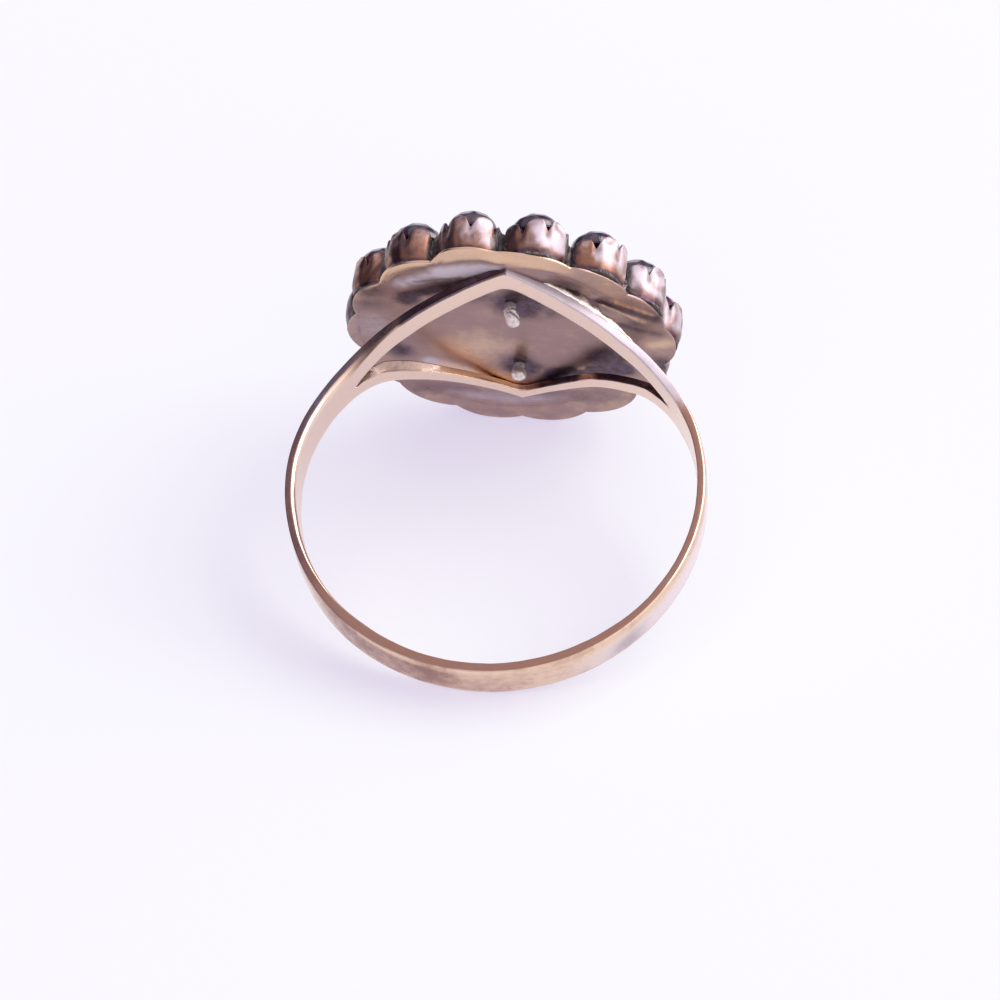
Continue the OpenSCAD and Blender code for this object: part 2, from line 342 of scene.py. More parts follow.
# %% The gilt metal
# The matt pale tone and the two stain tones colour real matt patches and stains, and also the painted
# highlights, painted reflections and painted shade that the marks place.
MATT_PALE_TONE, SHADE_AND_STAIN_VIOLET, SHADE_AND_STAIN_BROWN = (0.72, 0.64, 0.7, 1), (0.1, 0.068, 0.115, 1), (0.06, 0.027, 0.026, 1)
OILY_DIRT, DRY_DIRT = (0.035, 0.026, 0.034, 1), (0.3, 0.275, 0.225, 1)


def gilt_metal(name, clean, rubbed_and_lit, film, gold, film_amount, rough, patches):
    made, start, shader = new_material(name, {"IOR": 1.5})
    here, grain = ring_mm(start), mark(start, "grain", "Vector")
    grime, wear, warm, frost, stain = (mark(start, mark_name) for mark_name in MARKS)
    blotches = here.cloud(patches, 4.0, 0.6)
    specks = here.cloud(3.2, 3.0, 0.6)
    scratches = grain.stretched(0.35, 9.0, 9.0).cloud(1.6, 4.0, 0.7)
    crust = grain.stretched(1.3, 4.5, 4.5).cloud(1.7, 4.0, 0.7).step(0.42, 0.72)
    filmed = blotches * 0.9 + specks * 0.3 + (film_amount - 0.72) - wear * 0.45 - warm * 0.3
    filmed = filmed.step(-0.12, 0.28)
    pale = (frost * 1.25 + specks * 0.5 + scratches * 0.5 - 0.62).step(-0.15, 0.95)
    stained_and_shaded = (stain * 1.35 + blotches * 0.4 - 0.27).step(0.0, 0.85)
    dirt = (grime * 1.35 + specks * 0.5 - 0.45 - wear * 0.3).step(0.0, 0.75)
    tone = wear.mixed(clean, rubbed_and_lit)
    tone = (scratches.step(0.35, 0.75) * 0.22).mixed(tone, rubbed_and_lit)
    tone = (filmed * 0.8).mixed(tone, film)
    tone = (warm * 0.85).mixed(tone, gold)
    tone = (pale * 0.9).mixed(tone, MATT_PALE_TONE)
    tone = (stained_and_shaded * 0.92).mixed(tone, specks.step(0.35, 0.65).mixed(SHADE_AND_STAIN_VIOLET, SHADE_AND_STAIN_BROWN))
    tone = dirt.mixed(tone, crust.mixed(OILY_DIRT, DRY_DIRT))
    feed(tone, shader, "Base Color")
    feed((1 - dirt * 0.75 - pale * 0.55).clamped(), shader, "Metallic")
    dull = scratches * 0.16 + filmed * 0.12 + dirt * 0.3 + specks * 0.08 + frost * 0.3
    feed((dull + (rough - 0.12)).clamped(), shader, "Roughness")
    uneven = scratches * 0.4 + specks * 0.2 + dirt * crust * 1.5 + frost * here.cloud(6.0, 2.0) * 0.6
    feed(relief(start, uneven, 0.012, 0.5), shader, "Normal")
    return made


shank_gilt = gilt_metal(
    "shank_gilt",
    (0.77, 0.54, 0.385, 1),
    (0.93, 0.74, 0.6, 1),
    film=(0.3, 0.13, 0.1, 1),
    gold=(0.85, 0.55, 0.32, 1),
    film_amount=0.22,
    rough=0.2,
    patches=0.42,
)
plate_gilt = gilt_metal(
    "plate_gilt",
    (0.45, 0.29, 0.225, 1),
    (0.74, 0.55, 0.4, 1),
    film=(0.34, 0.228, 0.226, 1),
    gold=(0.82, 0.56, 0.37, 1),
    film_amount=0.34,
    rough=0.27,
    patches=0.9,
)
collet_gilt = gilt_metal(
    "collet_gilt",
    (0.5, 0.27, 0.19, 1),
    (0.8, 0.58, 0.54, 1),
    film=(0.1, 0.055, 0.065, 1),
    gold=(0.5, 0.22, 0.1, 1),
    film_amount=0.62,
    rough=0.2,
    patches=1.5,
)
print("metals:", [m.name for m in (shank_gilt, plate_gilt, collet_gilt)])

# %% [markdown]
# The rivets and the solder are a paler, greyer metal. Solder froze as it flowed, so
# it is frosted and uneven where the sheet is smooth. The rivet ends are half matt.


# %% Rivet metal and solder
def pale_metal(name, bright, dull, smooth, rough, depth_mm, matt=0.0):
    made, start, shader = new_material(name, {"IOR": 1.5})
    here, grime = ring_mm(start), mark(start, "grime")
    frost = here.cloud(5.0, 4.0, 0.65)
    dirt = (grime * 1.2 + frost * 0.4 - 0.35).step(0.0, 0.8)
    tone = frost.step(0.35, 0.7).mixed(dull, bright)
    feed((dirt * 0.9).mixed(tone, (0.05, 0.04, 0.04, 1)), shader, "Base Color")
    feed(((1 - matt) - dirt * 0.6).clamped(), shader, "Metallic")
    feed((frost * (rough - smooth) + smooth + dirt * 0.2).clamped(), shader, "Roughness")
    feed(relief(start, frost, depth_mm, 0.6), shader, "Normal")
    return made


rivet_pale = pale_metal("rivet_pale", (0.94, 0.9, 0.86, 1), (0.62, 0.54, 0.5, 1), 0.2, 0.45, 0.02, 0.45)
solder_grey = pale_metal("solder_grey", (0.5, 0.43, 0.39, 1), (0.11, 0.07, 0.11, 1), 0.35, 0.7, 0.08)
solder_pale = pale_metal("solder_pale", (0.97, 0.94, 0.9, 1), (0.8, 0.7, 0.6, 1), 0.22, 0.45, 0.03)
solder_beige = pale_metal("solder_beige", (0.66, 0.56, 0.43, 1), (0.3, 0.24, 0.16, 1), 0.35, 0.65, 0.05)
print("pale metals:", [m.name for m in (rivet_pale, solder_grey, solder_pale, solder_beige)])

# %% [markdown]
# Garnets of this kind are so deep a red that they look black until a facet throws
# light back. Closed collets let no light through from behind, so real glass
# refraction would only add noise: a dark body colour with redder cells, which stand
# for light caught by the back facets, under a hard gloss gives the same look.

# %% The garnets
GARNET_IOR, GARNET_DARK, GARNET_LIT = 1.76, (0.024, 0.004, 0.02, 1), (0.2, 0.012, 0.03, 1)
gloss = {"Roughness": 0.06, "IOR": GARNET_IOR, "Metallic": 0.0, "Coat Weight": 0.4, "Coat Roughness": 0.04}
garnet_red, start, shader = new_material("garnet_red", gloss)
here = ring_mm(start)
cells = here.node("ShaderNodeTexVoronoi", {"feature": "F1"}, {"Vector": here, "Scale": 1.7}, out="Distance")
glow = (cells * -1.6 + 1.05 + here.cloud(1.1, 2.0) * 0.5 - 0.55).step(0.05, 0.75)
feed(glow.mixed(GARNET_DARK, GARNET_LIT), shader, "Base Color")
print("stones:", garnet_red.name)

# %% [markdown]
# The shank is one thin strip of sheet bent round the finger. From the sides up it is
# sawn into two and each half is spread, so that seen from the head the branches
# form two pointed arches. A flat strip cut out of a tube would have hard edges, so
# the skin is built from cross-sections: each has a flat face to the finger, a
# rounded rim and a slightly crowned outer face. One half is drawn and mirrored, and
# where the strip isn't split yet the halves share their middle line.


# %% Where the shank runs
def arch_edge(x, arch):
    """Distance of the strip's outer edge from the middle plane, at distance x."""
    side, (point, foot) = BAND_SIDE_W / 2, arch
    slope = atan((point - side) / foot)
    fillet_x = foot + FILLET_R * tan(slope / 2)
    if x >= fillet_x:
        return side
    if x >= fillet_x - FILLET_R * sin(slope):
        return side + FILLET_R - sqrt(FILLET_R**2 - (fillet_x - x) ** 2)
    return point - (point - side) / foot * x


def rounded(x, point, slope):
    """A straight edge that falls from its point, rounded under the point."""
    if x >= FORK_ROUND * sin(slope):
        return point - tan(slope) * x
    return point - FORK_ROUND / cos(slope) + sqrt(FORK_ROUND**2 - x * x)


def fork_edge(x, side):
    """The same for the strip's inner edge, which is one shared line below the fork."""
    bend_x, bend_z = LOWER_BEND
    if x >= FORK_X:
        return -side * FORK_DROP
    if side > 0:
        return rounded(x, UPPER_FORK_Z, atan((UPPER_FORK_Z + FORK_DROP) / FORK_X))
    if x > bend_x:
        return bend_z + (FORK_DROP - bend_z) * (x - bend_x) / (FORK_X - bend_x)
    return rounded(x, LOWER_FORK_Z, atan((LOWER_FORK_Z - bend_z) / bend_x))


ROUND_BAND, ON_SHOULDER, PAST_FORK, UNDER_HEAD = 220, 26, 14, 96


def stations():
    """Centre, radius and angle of each cross-section round the opening."""
    split = acos((FORK_X - shoulder_c.x) / (SHOULDER_R + WALL / 2))
    low, end = radians(SHOULDER_A), shoulder_end
    left_c = Vector((-shoulder_c.x, shoulder_c.y))
    runs = [
        (Vector((0, 0)), OPENING_R, pi - low, tau + low, ROUND_BAND),
        (shoulder_c, SHOULDER_R, low, split, ON_SHOULDER),
        (shoulder_c, SHOULDER_R, split, end, PAST_FORK),
        (Vector((0, under_head_y)), UNDER_HEAD_R, end, pi - end, UNDER_HEAD),
        (left_c, SHOULDER_R, pi - end, pi - split, PAST_FORK),
        (left_c, SHOULDER_R, pi - split, pi - low, ON_SHOULDER),
    ]
    for c, r, a0, a1, n in runs:
        for i in range(n):
            yield c, r, a0 + (a1 - a0) * i / n


print("cross-sections:", len(list(stations())), "arch point at", round(arch_edge(0, UPPER_ARCH), 2), "mm")


# %% [markdown]
# Each cross-section is a rounded rectangle between the fork edge and the outer edge.
# The corner radius shrinks to nothing at the fork itself, so the crotch stays as
# sharp as a saw left it. A corner may be wider along the strip's width than it is
# deep, and the rim's middle is kept apart from its corners, because it wears less.


# %% One cross-section of the shank
FACE_STEPS, CORNER_STEPS, SAW_STEPS, SAW_ROUND = 6, 5, 3, 0.08
CROWN, SPARE, EDGE_SPARE = 0.03, 0.008, 0.02
SAW_POINTS, OUTER_O = 2 * SAW_STEPS, WALL - CROWN - SPARE


def corner(o, z, turn_from, radius, along, steps=CORNER_STEPS):
    """Points of a quarter-round corner; radius is its offset and along its width."""
    angles = [turn_from - pi / 2 * k / steps for k in range(steps + 1)]
    return [(o + radius * cos(t), z + along * sin(t)) for t in angles]


def section(inner_o, z_in, z_out, shared, inner_round, outer_round, slant):
    """Offset, width and part of each point: face, rim, back or saw cut."""
    cut = min(SAW_ROUND, 0.45 * (z_in - shared))
    slant = min(slant, max(0.0, z_in - shared - 0.06))
    low, high = z_in + cut, z_out - inner_round[1]
    face = [(inner_o, low + (high - low) * k / FACE_STEPS, "face") for k in range(FACE_STEPS)]
    rim = [(o, z, "inner rim") for o, z in corner(inner_o + inner_round[0], high, pi, *inner_round)]
    high = z_out - outer_round[1]
    rim += [(o, z, "outer rim") for o, z in corner(OUTER_O - outer_round[0], high, pi / 2, *outer_round)]
    middle = slice(CORNER_STEPS, CORNER_STEPS + 2)
    rim[middle] = [(o, z, "flat rim") for o, z, _ in rim[middle]]
    back = []
    for k in range(1, FACE_STEPS + 1):
        z = high + (low - slant - high) * k / FACE_STEPS
        bulge = 1 - (2 * k / FACE_STEPS - 1) ** 2 if cut > 0 else 1 - ((z - shared) / (z_out - shared)) ** 2
        back.append((OUTER_O + CROWN * bulge, z, "back"))
    lift = back[-1][0] - OUTER_O
    near, far = ("saw", "saw") if cut > 0 else ("face", "back")
    saw = [(o + lift, z, far) for o, z in corner(OUTER_O - cut, low - slant, 0, cut, cut, SAW_STEPS)[1:]]
    saw += [(o, z, near) for o, z in corner(inner_o + cut, low, -pi / 2, cut, cut, SAW_STEPS)[:-1]]
    return face + rim + back + saw


print("points in a cross-section:", len(section(0, 1.0, 2.0, 0.0, (0.1, 0.1), (0.1, 0.1), 0.0)))

# %% [markdown]
# Each side of the strip has lived its own life. The finger rubs the face and its edge, the cloth rubs the
# rims, and heat and fingers have coloured the rest. `RUB` is how much each part is rubbed, and the functions
# say where it is otherwise; they also paint highlights and shade onto the rims and the lower sawn edge. Left
# and right, low and high are those of the ring seen with its head up.

# %% How each part of the shank is worn, and where highlights and shade are painted on it
RUB = {"face": 0.75, "inner rim": 0.9, "flat rim": -1.0, "outer rim": 0.3, "back": 0.5, "saw": 0.1}
HEAD_FROM, HEAD_TO = 3.5, 5.0


def back_marks(at, side):
    """The outer face: dirt near the plate, matt and pale at the right, a stain low at the left."""
    clean_left = soft(-at.x, 0.0, 0.5) if side < 0 else 0.0
    low_left = soft(-at.y, 3.0, 7.5) * soft(1.5 - at.x, 0.0, 5.0)
    far_side = soft(-at.z, -1.0, 0.0)
    smudge = 0.3 * bell(at.x, 6.2, 0.9) * soft(-at.y, 0.0, 2.0) * far_side
    return {
        "grime": 0.75 * soft(at.y, 7.1, 7.6) * (1 - clean_left),
        "wear": RUB["back"] - 0.5 * low_left - 0.22 * soft(-at.y, 7.0, 9.0),
        "frost": 0.7 * soft(at.x, 2.5, 6.5) * (1 - soft(at.y, 2.0, 5.0)) * far_side,
        "stain": max(0.2 * low_left, smudge),
    }


def rim_marks(at, side, where):
    """The rims: the inner rim is dull except far left, where it has a painted highlight; far left the others
    have painted shade and a painted highlight. Near the head the upper branches have painted shade and a
    copper patch at the left and a painted highlight at the right.
    """
    by_head, far_left = soft(at.y, HEAD_FROM, HEAD_TO), soft(-at.x, 4.0, 7.5)
    wear, warm, frost, stain = RUB[where], 0.0, 0.0, 0.0
    if where == "inner rim":
        wear += (1.35 * far_left - 0.4 - wear) * (1 - by_head)
    else:
        stain = (0.45 + 0.15 * soft(at.y, 0.0, 3.0)) * far_left * (1 - 0.7 * soft(-at.y, 3.0, 7.0))
        frost = 0.75 * bell(at.y, 3.8, 1.6) * far_left
        wear -= 0.9 * far_left * (where == "outer rim")
    if side > 0 and at.x < 0.1:
        copper = bell(at.x, -5.7, 1.2) * by_head
        stain = max(stain, 0.95 * by_head * soft(at.x, -5.3, -4.0), 0.6 * copper)
        warm = 0.8 * copper
        wear -= 0.6 * copper
    elif side > 0:
        wear += (0.6 - wear) * by_head
        frost, stain = 0.8 * by_head, 0.24 * by_head
    return {"wear": wear, "warm": warm, "frost": frost, "stain": stain}


def lower_saw_marks(at):
    """The sawn edge of the lower fork: a painted reflection, gilt and pale at the left and dark at the
    right, with one spot kept free of the dark and some dirt far left.
    """
    by_head, left = soft(at.y, HEAD_FROM, HEAD_TO), soft(-at.x, 0.0, 0.5)
    stain = max(0.85 * soft(at.x, 0.3, 1.2), 0.25 * soft(-at.x, 3.8, 5.0)) * by_head
    return {
        "grime": 0.3 * left * soft(-at.x, 2.6, 4.0),
        "wear": RUB["saw"] + 0.75 * left * (1 - soft(-at.x, 3.6, 4.8)),
        "warm": left * (0.5 - 0.15 * soft(-at.x, 3.0, 4.2)),
        "frost": 0.3 * left * soft(-at.x, 2.2, 3.6),
        "stain": stain * (1 - bell(at.x, 3.1, 0.45)),
    }


def shank_marks(at, side, where):
    if where == "back":
        return back_marks(at, side)
    if "rim" in where:
        return rim_marks(at, side, where)
    return lower_saw_marks(at) if where == "saw" and side < 0 else {"wear": RUB[where]}


print("rub on the finger side:", RUB["face"])

# %% [markdown]
# The strip isn't even either: it was filed thinner at the arches' points and is a
# little thicker at the left and at the bottom, its rims are rounder where it was
# worn most, and one lower branch was bent aside when the head was soldered on.


# %% Bend the shank
def uneven_section(mid, side, arch):
    x, above = abs(mid.x), mid.y > 0
    taper = (BAND_SIDE_W - (BAND_SIDE_W - BAND_BOTTOM_W) * -mid.y / (OPENING_R + WALL)) / 2
    far_left = soft(-mid.x, 5.0, 7.6) * (1 - 0.7 * soft(-mid.y, 2.0, 7.0))
    right_low = (1 - soft(mid.y, 2.0, 5.5)) * soft(mid.x, -7.0, -1.0)
    filed = 0.04 * (1 - soft(x, 0.0, 3.0)) if above else 0.0
    inner_o = filed - 0.08 * max(far_left, soft(-mid.y, 5.0, 8.0))
    inner_o += 0.012 * wobble(mid.x, mid.y, 3.0, 1.3) + 0.008 * wobble(mid.x, mid.y, 7.0, 0.4)
    nibbled = 0.03 * wobble(mid.x, mid.y, 11.0 * side, 0.9)
    return section(
        inner_o,
        z_in=fork_edge(x, side) if above else -side * FORK_DROP,
        z_out=(arch_edge(x, arch) if above else taper) - EDGE_SPARE + nibbled,
        shared=-side * FORK_DROP,
        inner_round=(0.05 + 0.2 * far_left, 0.05 + 0.26 * far_left),
        outer_round=(0.04 + 0.1 * right_low, 0.05 + 0.18 * right_low),
        slant=0.4 * soft(-mid.x, 2.5, 5.0) if above and side < 0 else 0.0,
    )


def bent(p, width, lower_branch):
    p.x += 0.16 * bell(p.y, 4.0, 2.4) * soft(-p.x, 3.0, 6.0)
    skew = -0.02 * p.x * soft(p.y, -5.0, 1.0)
    if lower_branch:
        skew += 0.26 * bell(p.x, 3.6, 1.7)
    return Vector((p.x, p.y, width + skew))


shank = Skin()
for side, arch in ((1, UPPER_ARCH), (-1, LOWER_ARCH)):
    splits, run, last = [], 0.0, None
    first = len(shank.points)
    for c, r, a in stations():
        mid = c + (r + WALL / 2) * Vector(polar(1, a))
        run += (mid - last).length if last else 0.0
        last = mid
        splits.append(mid.y > 0 and abs(mid.x) < FORK_X)
        parts = uneven_section(mid, side, arch)
        for o, z, where in parts:
            at = bent(c + (r + o) * Vector(polar(1, a)), side * z, side < 0 and mid.y > 0)
            shank.point(at, (run, side * z, o), **shank_marks(at, side, where))
    hoops, count = len(splits), len(parts)
    for n, face in enumerate(hoops_to_faces(hoops, count, loop=True, first=first)):
        k, i = divmod(n, count)
        if i < count - SAW_POINTS - 1 or splits[k] or splits[(k + 1) % hoops]:
            shank.faces.append(face)
print("shank runs", round(run, 1), "mm round the finger")

# %% [markdown]
# The base plate was sawn out of sheet with one lobe under each outer collet. Its
# back was polished and later dented: it is a touch dished inside a faint line, sunk
# a little round the two rivets, and creased near the right edge. Polar hoops follow
# both the round dish and the lobes, which a square grid would not.


# %% A plate with lobes
FLANGE_STEPS, RIM_STEPS, FRONT_STEPS, PLATE_EDGE = 4, 7, 9, 0.07


def lobe_reach(angle, lobes, ring_r, lobe_r, turn=0.0):
    """Distance from the middle to the lobed edge, in that direction."""
    step = tau / lobes
    off = (angle - turn + step / 2) % step - step / 2
    chord = lobe_r**2 - (ring_r * sin(off)) ** 2
    return max(ring_r, ring_r * cos(off) + sqrt(max(0.0, chord)))


def plate_hoop(kind, k, far, radii, h_back, h_front):
    """Distance from the middle and height of hoop k, where the plate reaches out to far."""
    flat = far - PLATE_EDGE
    if kind == "back":
        share = (k - len(radii) + 1) / FLANGE_STEPS
        return (radii[k] if share <= 0 else radii[-1] + (flat - radii[-1]) * share), h_back
    if kind == "rim":
        t = -pi / 2 + pi * (k + 1) / (RIM_STEPS + 1)
        half = (h_front - h_back) / 2 - PLATE_EDGE
        h = (h_back + h_front) / 2 + half * ((t > 0) - (t < 0))
        return flat + PLATE_EDGE * cos(t), h + PLATE_EDGE * sin(t)
    return flat * (1 - k / FRONT_STEPS), h_front


def lobed_plate(skin, reach, spokes, radii, h_back, h_front, back_shape, marks):
    """Adds a plate from hoops: over its back, round its rim and over its front."""
    first = len(skin.points)
    angles = turns(spokes)
    filed = [reach(angle) - 0.01 * (1 + wobble(*polar(1, angle), 1.0, 0.15)) for angle in angles]
    kinds = [("back", k) for k in range(len(radii) + FLANGE_STEPS)]
    kinds += [("rim", k) for k in range(RIM_STEPS)] + [("front", k) for k in range(FRONT_STEPS)]
    for kind, k in kinds:
        for angle, far in zip(angles, filed):
            rho, h = plate_hoop(kind, k, far, radii, h_back, h_front)
            a, b = polar(rho, angle)
            if kind == "back":
                h += back_shape(a, b)
            skin.point(on_head(a, b, h), (a, b, h), **marks(kind, a, b))
    skin.faces += hoops_to_faces(len(kinds), spokes, first=first)
    for hoop, h in ((0, h_back + back_shape(0, 0)), (len(kinds) - 1, h_front)):
        hub, start = skin.point(on_head(0, 0, h)), first + hoop * spokes
        for s in range(spokes):
            skin.faces.append((hub, start + s, start + (s + 1) % spokes))


def segment_distance(a, b, start, end):
    ax, bx = end[0] - start[0], end[1] - start[1]
    t = ((a - start[0]) * ax + (b - start[1]) * bx) / (ax * ax + bx * bx) if start != end else 0.0
    t = max(0.0, min(1.0, t))
    return hypot(a - start[0] - t * ax, b - start[1] - t * bx)


def smear(a, b, strength, *shape):
    """A mark at a spot or along a streak; shape is its one or two ends and its size."""
    *ends, size = shape
    return strength * bell(segment_distance(a, b, ends[0], ends[-1]), 0, size)


print("a lobe reaches", round(lobe_reach(0.0, LOBES, LOBE_RING_R, LOBE_R), 2), "mm from the middle")

# %% The base plate's edge and its dented back
DISH_MIDDLE, DISH_R, DISH_LINE = (-0.5, -0.3), 6.2, 0.07
CREASES = [((4.0, -3.6), (5.6, -2.3)), ((4.3, -3.85), (6.1, -2.6)), ((3.4, -2.9), (4.6, -2.2))]
FILLET_DENT = ((0.0, -6.3), (1.7, -5.4), 0.5)
POST_SPOTS = ((0.2, -2.87), (0.2, 2.27))
NOTCH_SHARE = {10: 0.2, 12: 1.15, 13: 0.7, 5: 0.8}
LOBE_SWELL = {10: 0.3, 9: 0.05, 11: -0.05, 12: -0.12, 13: -0.1}


def dish_distance(a, b):
    return hypot(a - DISH_MIDDLE[0], b - DISH_MIDDLE[1])


def base_back(a, b):
    """How far the back of the base plate is sunk towards the stones."""
    out = dish_distance(a, b)
    sunk = 0.06 * (1 - soft(out, DISH_R - 0.3, DISH_R)) + 0.03 * bell(out, DISH_R, DISH_LINE)
    sunk += sum(smear(a, b, 0.06, post, 0.55) for post in POST_SPOTS)
    sunk -= smear(a, b, 0.15, *FILLET_DENT) + sum(smear(a, b, 0.06, *crease, 0.07) for crease in CREASES)
    return sunk + 0.025 * wobble(a, b, 2.0, 1.6) + 0.006 * wobble(a, b, 4.0, 0.5)


def base_reach(angle):
    """The edge of the base plate: some notches are shallow and some lobes full."""
    full = LOBE_RING_R + LOBE_R
    turn = (angle / tau * LOBES) % LOBES
    share = NOTCH_SHARE.get(int(turn), 1.0)
    swell = LOBE_SWELL.get(round(turn) % LOBES, 0.0) * (1 - soft(abs(turn - round(turn)), 0.1, 0.5))
    return full - share * (full - lobe_reach(angle, LOBES, LOBE_RING_R, LOBE_R)) + swell


print("the dish line is", DISH_R, "mm from", DISH_MIDDLE)

# %% [markdown]
# The plate is polished, so besides gilding and stains its larger marks paint in what it mirrors and the
# shade on it: pale painted highlights and reflections, golden painted reflections of the sunlit lower
# branch, and painted shade and dark reflections round the posts and along the branches. They come from short
# tables: strength, place and size of a spot, or strength, both ends and width of a streak, in millimetres on
# the plate, with b downwards.

# %% Marks on the back of the base plate, and its painted reflections and shade
# Golden patches: gilding, and at the lower left painted reflections of the sunlit lower branch.
GOLD_AND_PAINTED_REFLECTION = [
    (0.5, (-2.4, 1.2), 1.3),
    (0.9, (2.9, 2.2), 0.3),
    (0.35, (-6.1, -3.6), 0.7),
    (0.6, (-3.6, 2.6), (-0.4, 3.8), 0.7),
    (0.8, (4.2, -3.3), (5.9, -2.15), 0.14),
    (0.8, (4.8, -3.7), (6.3, -2.75), 0.12),
    (0.6, (6.2, -0.1), (6.9, -0.4), 0.35),
]
# Paler rubbed patches; the streak at the lower left is a painted reflection of the sunlit lower branch.
RUBBED_AND_PAINTED_REFLECTION = [(0.5, (-1.0, 0.6), 1.2), (1.0, (-3.2, 3.0), (-0.8, 4.0), 0.6)]
# Painted pale highlights and reflections.
PAINTED_PALE_REFLECTIONS = [
    (1.0, (-3.75, 2.3), 0.36),
    (0.36, (-5.9, -0.6), 1.2),
    (0.45, (3.9, -3.95), 0.3),
    (0.3, (5.0, 1.9), 0.5),
]
# Painted reflections of the left upper branch, just under the plate's top edge.
PAINTED_REFLECTION_STREAKS = [(0.75, (-4.4, -4.3), (-2.6, -5.3), 0.45), (1.2, (-2.6, -5.3), (-0.2, -5.8), 0.55)]
# Stains, with painted shade: the dark halos round the two posts and the dark streaks along the branches.
STAINS_AND_PAINTED_SHADE = [
    (0.95, (0.6, -3.05), 1.25),
    (0.95, (0.3, 2.35), 0.95),
    (0.9, (4.1, 1.3), 1.1),
    (0.8, (2.9, 2.8), 0.8),
    (0.7, (-5.1, 1.4), 0.7),
    (0.8, (-4.3, -3.0), 0.6),
    (0.7, (2.6, -4.4), 1.0),
    (0.7, (6.6, 1.4), 0.8),
    (0.5, (1.9, -2.5), 0.7),
    (0.4, (-6.0, -2.6), 0.7),
    (0.45, (5.6, -2.0), 0.8),
    (0.75, (-5.9, -3.6), 0.7),
    (0.3, (6.5, 0.0), 0.6),
    (1.0, (1.8, 2.9), (4.8, 2.1), 0.6),
    (0.7, (0.6, -5.3), (2.4, -4.6), 0.45),
    (0.6, (4.2, -3.5), (6.4, -2.5), 0.5),
    (0.5, (4.9, -1.7), (6.4, -1.2), 0.4),
    (0.45, (-1.8, -3.6), (1.9, -3.0), 0.6),
    (0.8, (-4.4, -3.3), (-2.4, -4.2), 0.35),
    (0.4, (-3.8, -4.5), (-1.8, -5.0), 0.12),
]


def strongest(a, b, table):
    return max(smear(a, b, *row) for row in table)


def base_marks(kind, a, b):
    """The flange is outside the dish line; its golden, brighter top is a painted reflection, and it is
    darker at the right.
    """
    if kind == "front":
        return {"grime": 0.95}
    out = dish_distance(a, b)
    line, flange = bell(out, DISH_R, DISH_LINE), soft(out, DISH_R - 0.03, DISH_R + 0.12)
    top = 1 - soft(abs(degrees(atan2(a, -b)) + 4), 46, 62)
    low, right = soft(b, 2.0, 4.0), soft(a, 3.2, 4.6) * (1 - top)
    warm = 0.85 * flange * top * (1 - 0.9 * soft(a, 1.8, 3.8))
    warm = max(warm, strongest(a, b, GOLD_AND_PAINTED_REFLECTION))
    wear = 0.5 * flange * (0.35 + 0.65 * top) * (0.6 if kind == "rim" else 1.0) * (1 - 0.7 * right)
    wear *= 1 - 0.7 * max(soft(a, 0.6, 3.0), soft(-a, 4.4, 5.4)) * (1 - low)
    wear = max(wear, strongest(a, b, RUBBED_AND_PAINTED_REFLECTION))
    ragged = 1 - soft(out, DISH_R - 0.25, DISH_R) + 0.25 * wobble(1.6 * (a + b), a - b, 0.0, 0.5)
    foot = 0.4 * soft(b, 4.2, 5.2) * (1 - soft(out, DISH_R - 0.6, DISH_R + 0.2))
    frost = max(0.8 * ragged * strongest(a, b, PAINTED_REFLECTION_STREAKS), strongest(a, b, PAINTED_PALE_REFLECTIONS), foot)
    below = 0.3 * low * soft(b, 3.6, 4.6) * (1 - soft(b, 4.8, 6.0))
    stain = max(strongest(a, b, STAINS_AND_PAINTED_SHADE), below) * (1 - 0.9 * warm)
    grime = 0.35 * line * (1 - right)
    return {"grime": grime, "wear": wear * (1 - line), "warm": warm, "frost": frost, "stain": stain}


BASE_HOOP_GAP, BASE_HOOPS, SPOKES_PER_LOBE, FRONT_SPARE = 0.11, 57, 26, 0.04
base = Skin()
radii = [BASE_HOOP_GAP * (k + 1) for k in range(BASE_HOOPS)]
spokes = LOBES * SPOKES_PER_LOBE
lobed_plate(base, base_reach, spokes, radii, 0.0, PLATE_T - FRONT_SPARE, base_back, base_marks)
print("base plate points:", len(base.points))

# %% [markdown]
# A collet is a little cup of sheet. V notches cut into its mouth leave claws, which are pushed over the edge
# of the stone. No two are quite alike: each is turned, leant and notched a little differently. Each gets
# painted shade on its left flank and a painted highlight on its right, towards the window, and is darker at
# its foot.


# %% A claw collet
Cup = namedtuple("Cup", "mouth foot height girdle stone_r claws turn")
# In Looks, dark_to moves the edge of the painted shade on a collet's left flank, and pale sets the strength
# of the painted highlight on its right flank.
Looks = namedtuple("Looks", "warm low_side dark_to pale flat", defaults=(0.0, 0.0, 0.3, 0.6, 0.0))
WALL_STEPS, CLAW_SPOKES = 14, 20


def hand_cut(cup, seed):
    """Turn, the notches' depths and widths, how far the claws are bent, and the lean."""
    dice = random.Random(seed)
    turn = cup.turn + dice.uniform(-0.05, 0.05)
    deep = [dice.uniform(0.4, 0.62) for _ in range(cup.claws)]
    wide = [dice.uniform(0.34, 0.5) for _ in range(cup.claws)]
    bent_in = [dice.uniform(0.08, 0.2) for _ in range(cup.claws)]
    lean = (dice.uniform(-0.02, 0.02), dice.uniform(-0.02, 0.02))
    return turn, deep, wide, bent_in, lean


